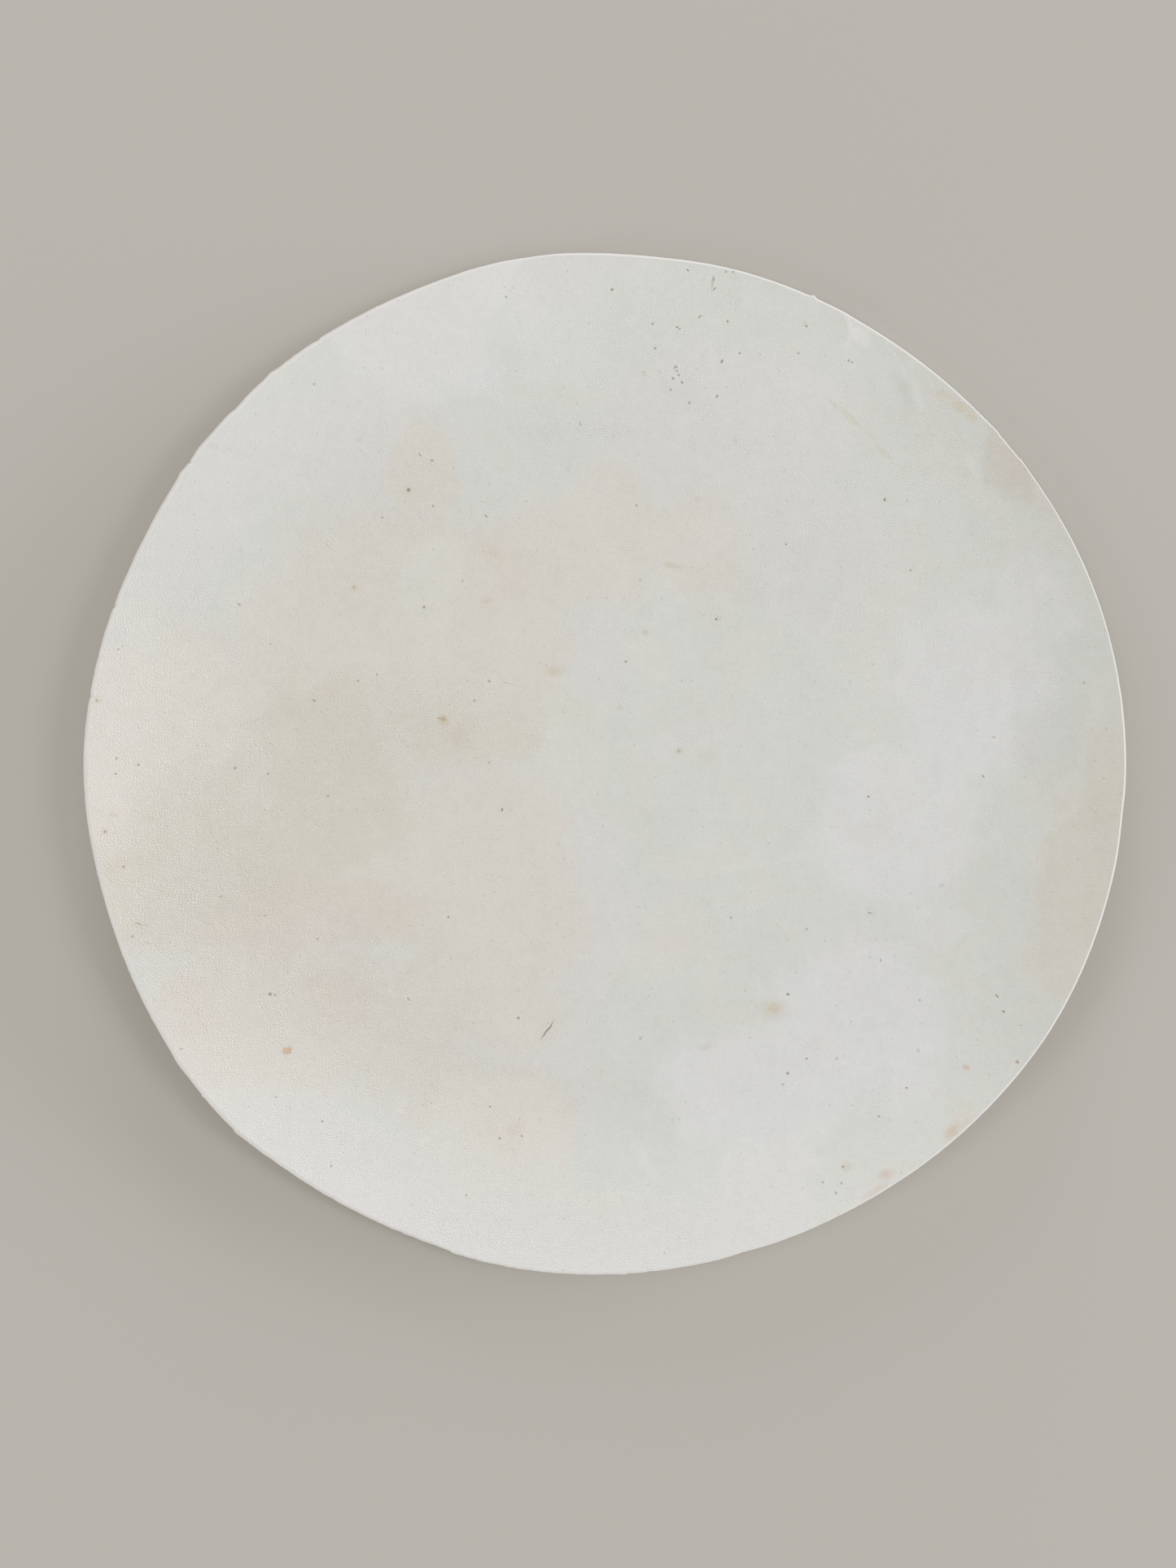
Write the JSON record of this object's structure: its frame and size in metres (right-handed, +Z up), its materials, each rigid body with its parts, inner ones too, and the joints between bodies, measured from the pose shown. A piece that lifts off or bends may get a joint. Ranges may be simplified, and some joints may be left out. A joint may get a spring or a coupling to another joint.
{
  "type": "leather hide",
  "caption": "Hand-cut round of thick white leather hide, lying grain side up, flat in the middle with a gently lifted rim.",
  "frame": {"origin": "on the surface that the hide lies on, in the middle of the box that its outline fills", "axes": "+Z up out of the grain side; +X towards the side of the rim whose outline is fullest, +Y along the surface at a right angle to it"},
  "size_m": [0.506, 0.4996, 0.0151],
  "materials": {
    "white_leather": "matt white hide with a fine pebble grain and faint cream stains"
  },
  "bodies": {
    "root": {"hide": "white_leather"}
  },
  "joints": []
}
